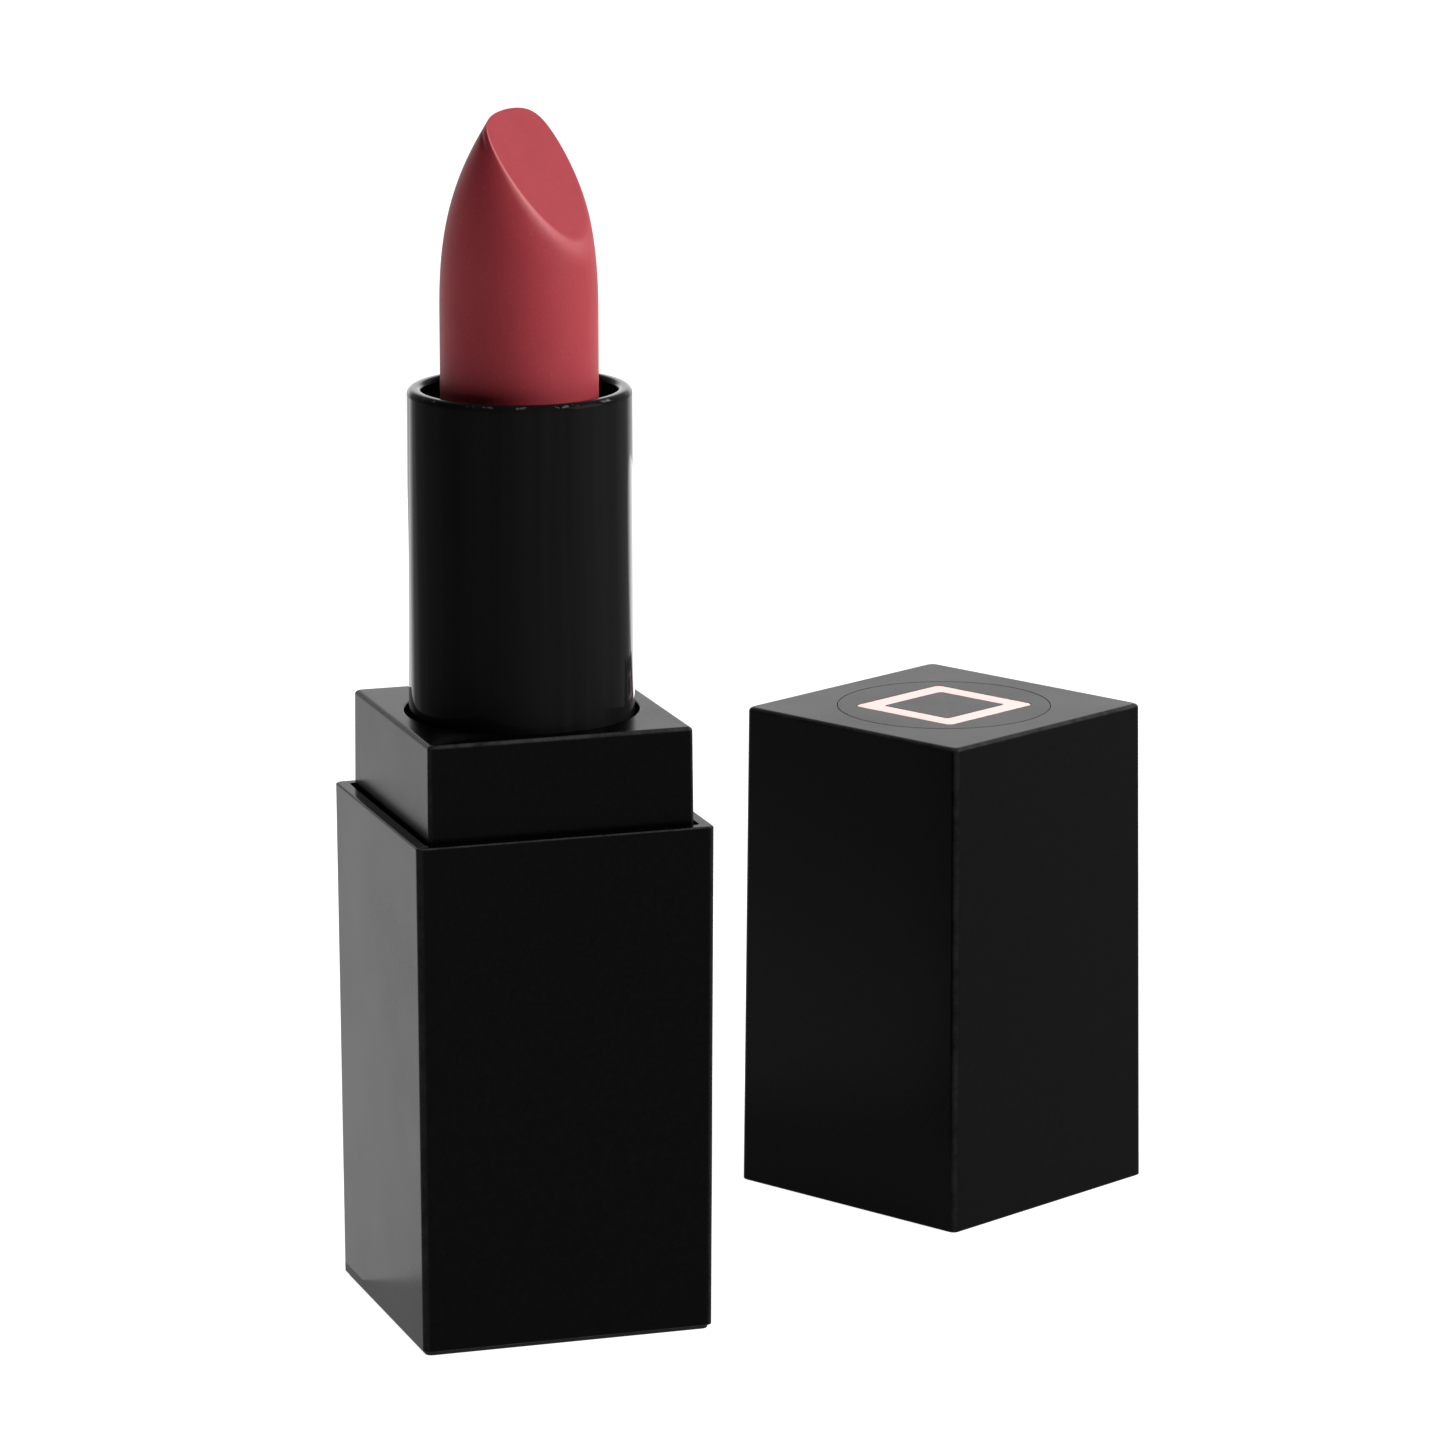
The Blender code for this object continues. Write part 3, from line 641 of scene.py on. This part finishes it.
def make_bullet(look):
    """Slices of the bullet: an oval whose front is cut by the face's plane, joined by a soft minimum.

    In a slice, u points towards the face and w across it. Each slice is drawn round its own middle m. At an
    angle t the oval of half-breadths d and w is at the distance r that solves
    ((m + r cos t) / d)^2 + (r sin t / w)^2 = 1, and the plane's line u = p is at r = (p - m) / cos t.
    The ridge, where they meet, is crisp near the tip and soft below. The crease beside it is a dent of
    depth * exp(-((t + ridge + angle) / width)^2 - ((z - level) / height)^2), with the CREASE constants.

    The edge attribute, a painted highlight band along the ridge, is n exp(-(s / b)^2): s is the plane's
    distance less the oval's, b the band's width and n how much of the painted highlight lies on this side
    of the ridge.
    """
    low, high = node_box("bullet")
    top = high[2]
    steps = np.linspace(0.0, 1.0, TAPER_SLICES + 1)[:-1]
    taper = TAPER_START + (top - TAPER_START) * np.sin(0.5 * np.pi * steps)
    z = np.concatenate([FOOT_SLICES + low[2], taper])[:, None]
    rise = np.clip((z - low[2]) / FOOT_EASE, 0.0, 1.0)
    inset = FOOT_EASE * (1.0 - np.sqrt(rise * (2.0 - rise)))
    depth, width = half_breadth(z, DEPTH_LAW) - inset, half_breadth(z, WIDTH_LAW) - inset
    plane_u = (top - z) * math.tan(FACE_RISE) - half_breadth(top, DEPTH_LAW)
    front_u = np.minimum(plane_u, depth)
    middle = 0.5 * (front_u - depth)
    meeting_w = width * np.sqrt(np.clip(1.0 - (front_u / depth) ** 2, 0.0, 1.0))
    ridge = np.maximum(np.arctan2(meeting_w, front_u - middle), LEAST_RIDGE)

    angle = slice_angles(ridge)
    cosine, sine = np.cos(angle), np.sin(angle)
    square_term = (cosine / depth) ** 2 + (sine / width) ** 2
    linear_term = middle * cosine / depth ** 2
    constant_term = (middle / depth) ** 2 - 1.0
    root = np.sqrt(linear_term ** 2 - square_term * constant_term)
    to_oval = (root - linear_term) / square_term
    forward = np.maximum(cosine, 0.02)
    to_plane = np.where(cosine > 0.02, (plane_u - middle) / forward, 99.0)

    fall = np.clip((top - z) / (top - FACE_END), 0.0, 1.0)
    softness = np.minimum(0.10 + 0.35 * fall ** 2, 0.25 * (plane_u + depth) + 0.004)
    past_crease = (angle + ridge + CREASE_ANGLE) / CREASE_WIDTH
    over_crease = (z - CREASE_LEVEL) / CREASE_HEIGHT
    crease = CREASE_DEPTH * np.exp(-(past_crease ** 2) - over_crease ** 2)
    reach = soft_minimum(to_oval, to_plane, softness) - crease
    u, w = middle + reach * cosine, reach * sine

    beyond = to_plane - to_oval
    # Painted highlight band along the ridge: narrow near the tip, wider below, mostly on one side of the
    # ridge
    band = np.where(beyond > 0.0, 0.12 + 1.6 * fall ** 2 * (1.25 - fall), 0.05 + 0.08 * fall)
    near_side = np.clip(0.75 - angle / 0.6, 0.12, 1.0) * (1.0 - 0.6 * fall ** 4)
    rub_and_painted_highlight = near_side * np.exp(-((beyond / band) ** 2)) * np.clip((top - z) / 1.2, 0.0, 1.0)
    cos_face, sin_face = math.cos(FACE_AZIMUTH), math.sin(FACE_AZIMUTH)
    x, y = u * cos_face - w * sin_face, u * sin_face + w * cos_face
    rows = np.stack([x, y, z + 0.0 * u, rub_and_painted_highlight], 2)
    return install(skin("rose_bullet", rows, False), look, "stick", "bullet")


def cap_place():
    """Middle of the cap's mouth, on the surface it stands on."""
    low, high = node_box("cap_shell")
    return (0.5 * (low[0] + high[0]), 0.5 * (low[1] + high[1]), low[2])


def make_cap_shell(look):
    """Cap from its cavity's ceiling, round the mouth, up the outside and into the disc's recess."""
    height = node_box("cap_shell")[1][2]
    disc_low, disc_high = node_box("cap_disc")
    recess, recess_floor = 0.5 * (disc_high[0] - disc_low[0]) + 0.04, disc_low[2] - 0.05
    cavity, ceiling, mouth, crown = 9.96, 34.9, 10.68, 10.375
    corners = [
        (0.5 * cavity, ceiling, 0.0, INNER_CORNER),
        (cavity, ceiling, 0.2, INNER_CORNER),
        (cavity, 0.0, 0.1, INNER_CORNER),
        (mouth, 0.0, 0.12, OUTER_CORNER),
        (crown, height, CAP_FILLET, OUTER_CORNER),
        (recess, height, 0.05, None),
        (recess, recess_floor, 0.0, None),
        (0.5 * recess, recess_floor, 0.0, None),
    ]
    rows = placed(ring_rows(filleted(corners, False)), cap_place(), CAP_TURN)
    return install(skin("square_cap_shell", rows, False), look, "cap", "cap_shell")


def make_cap_liner(look):
    """Thin sleeve inside the cap with eased ends."""
    low, high = node_box("cap_liner")
    outer, bore = 9.92, 9.68
    corners = [
        (outer, low[2], 0.06, INNER_CORNER),
        (outer, high[2], 0.0, INNER_CORNER),
        (bore, high[2], 0.0, INNER_CORNER),
        (bore, low[2], 0.1, INNER_CORNER),
    ]
    rows = placed(ring_rows(filleted(corners, True)), cap_place(), CAP_TURN)
    return install(skin("cap_inner_sleeve", rows, True), look, "cap", "cap_liner")


def make_cap_disc(look):
    """Disc let into the cap's top, its edge eased, with the ornament's square groove."""
    low, high = node_box("cap_disc")
    radius = 0.5 * (high[0] - low[0])
    top = high[2]
    outer, inner, floor = 4.74, 3.16, top - 0.35
    corners = [
        (0.5 * radius, low[2], 0.0, None),
        (radius, low[2], 0.0, None),
        (radius, top, 0.06, None),
        (outer, top, 0.03, 0.5),
        (outer, floor, 0.0, 0.5),
        (inner, floor, 0.0, 0.3),
        (inner, top, 0.03, 0.3),
        (0.5 * inner, top, 0.0, 0.3),
    ]
    rows = placed(ring_rows(filleted(corners, False)), cap_place(), CAP_TURN)
    return install(skin("cap_top_disc", rows, False), look, "cap", "cap_disc")


def make_cap_frame(look):
    """Plain square frame in the disc's groove, its upper edges eased."""
    low, high = node_box("cap_emblem")
    outer, inner = 4.7, 3.2
    corners = [
        (outer, low[2], 0.0, 0.5),
        (outer, high[2], 0.05, 0.5),
        (inner, high[2], 0.05, 0.3),
        (inner, low[2], 0.0, 0.3),
    ]
    rows = placed(ring_rows(filleted(corners, True)), cap_place(), CAP_TURN)
    return install(skin("cap_square_ornament", rows, True), look, "cap", "cap_emblem")


def dress(node, look):
    """Give a CAD node that stays its own finish."""
    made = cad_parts[node]
    made.data.materials.clear()
    made.data.materials.append(look)


# ---------------------------------------------------------------- stage, light and camera

def make_stage():
    """White light table."""
    mesh = bpy.data.meshes.new("floor")
    half = 3.0
    corners = [(-half, -half, 0.0), (half, -half, 0.0), (half, half, 0.0), (-half, half, 0.0)]
    mesh.from_pydata(corners, [], [(0, 1, 2, 3)])
    floor = bpy.data.objects.new("floor", mesh)
    bpy.context.scene.collection.objects.link(floor)
    graph = new_graph("light_table")
    color = graph.blend(graph.noise(2.0), rgb(0.29, 0.29, 0.29), rgb(0.31, 0.31, 0.31))
    emission = graph.node("ShaderNodeEmission", {}, {"Color": WHITE, "Strength": 0.98})
    matt = graph.node("ShaderNodeBsdfDiffuse", {}, {"Color": color})
    both = graph.node("ShaderNodeAddShader", {}, {0: matt, 1: emission})
    graph.node("ShaderNodeOutputMaterial", {}, {"Surface": both})
    mesh.materials.append(graph.owner)


def new_lamp(name, shape, size, power):
    """Area lamp, for its caller to place."""
    data = bpy.data.lights.new(name, "AREA")
    data.shape = shape
    data.size, data.size_y = size
    data.energy = power
    lamp = bpy.data.objects.new(name, data)
    bpy.context.scene.collection.objects.link(lamp)
    return lamp


def key_light():
    """Soft panel in front, on the right, that faces the case."""
    azimuth, elevation, distance = math.radians(-32), math.radians(30), 0.5
    target = Vector((0.012, 0.006, 0.04))
    across = math.cos(elevation)
    toward = Vector((math.cos(azimuth) * across, math.sin(azimuth) * across, math.sin(elevation)))
    lamp = new_lamp("right_panel", "RECTANGLE", (0.3, 0.35), 4.4)
    lamp.location = target + toward * distance
    lamp.rotation_mode = "QUATERNION"
    lamp.rotation_quaternion = (-toward).to_track_quat("-Z", "Y")


def table_light(name, middle, turn, size, radiance):
    """Oval panel let into the table behind the case, for its dark sides to mirror. It faces up."""
    area = 0.25 * math.pi * size[0] * size[1]
    lamp = new_lamp(name, "ELLIPSE", size, radiance * math.pi * area)
    lamp.location = (*middle, 0.001)
    lamp.rotation_euler = (math.pi, 0.0, math.radians(turn))
    lamp.visible_camera = False


def make_world():
    """White surround for the eye; for the light, a bright wall behind the case and dim walls elsewhere."""
    world = bpy.data.worlds.new("studio")
    bpy.context.scene.world = world
    graph = Graph(world)
    sockets = {0: graph.node("ShaderNodeTexCoord"), 1: (0.31, 0.95, 0.0)}
    backward = graph.node("ShaderNodeVectorMath", {"operation": "DOT_PRODUCT"}, sockets, output=1)
    glow = graph.ramp(0.5 + 0.5 * backward, [(0.0, 0.03), (0.6, 0.06), (0.84, 0.7), (0.96, 1.0)])
    lit = graph.node("ShaderNodeBackground", {}, {"Color": WHITE, "Strength": 1.9 * glow})
    seen = graph.node("ShaderNodeBackground", {}, {"Color": WHITE, "Strength": 1.05})
    camera_ray = graph.node("ShaderNodeLightPath")
    both = graph.node("ShaderNodeMixShader", {}, {0: camera_ray, 1: lit, 2: seen})
    graph.node("ShaderNodeOutputWorld", {}, {"Surface": both})


def make_camera():
    """Long lens, a little left of the base's front and a little above it."""
    azimuth, elevation, roll = math.radians(-18.1), math.radians(12.88), math.radians(-0.09)
    distance, shift_right, shift_up = 540.0, 14.07, -2.59
    pivot = Vector((0.0, 0.0, 45.0))
    across = math.cos(elevation)
    away = Vector((math.sin(azimuth) * across, -math.cos(azimuth) * across, math.sin(elevation)))
    level = Vector((math.cos(azimuth), math.sin(azimuth), 0.0))
    right = math.cos(roll) * level + math.sin(roll) * away.cross(level)
    up = away.cross(right)
    data = bpy.data.cameras.new("camera")
    data.sensor_width = 36.0
    data.lens = 192.0
    data.clip_start, data.clip_end = 0.01, 20.0
    camera = bpy.data.objects.new("camera", data)
    bpy.context.scene.collection.objects.link(camera)
    camera.location = (pivot + away * distance + right * shift_right + up * shift_up) * MM
    camera.rotation_mode = "QUATERNION"
    camera.rotation_quaternion = Matrix((right, up, away)).transposed().to_quaternion()
    bpy.context.scene.camera = camera


def build():
    """Make every piece, then the stage, the light and the camera."""
    case_black = satin_black("satin_black", (0.0006, 0.0006, 0.0007), (0.0014, 0.0014, 0.0015), 0.25)
    disc_grey = satin_black("cap_disc_grey", (0.0008, 0.0012, 0.0014), (0.0018, 0.0024, 0.0028), 0.27)
    inner_black = moulded_black()
    make_base_shell(case_black)
    make_foot_plate(inner_black)
    make_label(label_film())
    make_collar(case_black)
    make_tube(gloss_black())
    make_cup(inner_black)
    make_bullet(rose_wax())
    make_cap_shell(case_black)
    make_cap_liner(inner_black)
    make_cap_disc(disc_grey)
    make_cap_frame(pink_inlay())
    dress("weight", turned_steel())
    dress("base_insert", inner_black)
    dress("torque_ring", silicone())
    dress("inner_body", acetal("white_acetal", (0.76, 0.76, 0.75), (0.86, 0.86, 0.85)))
    dress("spiral", acetal("natural_acetal", (0.70, 0.69, 0.64), (0.80, 0.79, 0.75)))
    make_stage()
    make_world()
    key_light()
    table_light("left_oval", (-0.100, 0.276), 18, (0.13, 0.57), 0.85)
    table_light("back_oval", (0.118, 0.219), -18, (0.27, 0.12), 1.6)
    make_camera()
    bpy.context.scene.view_settings.view_transform = "Standard"


build()
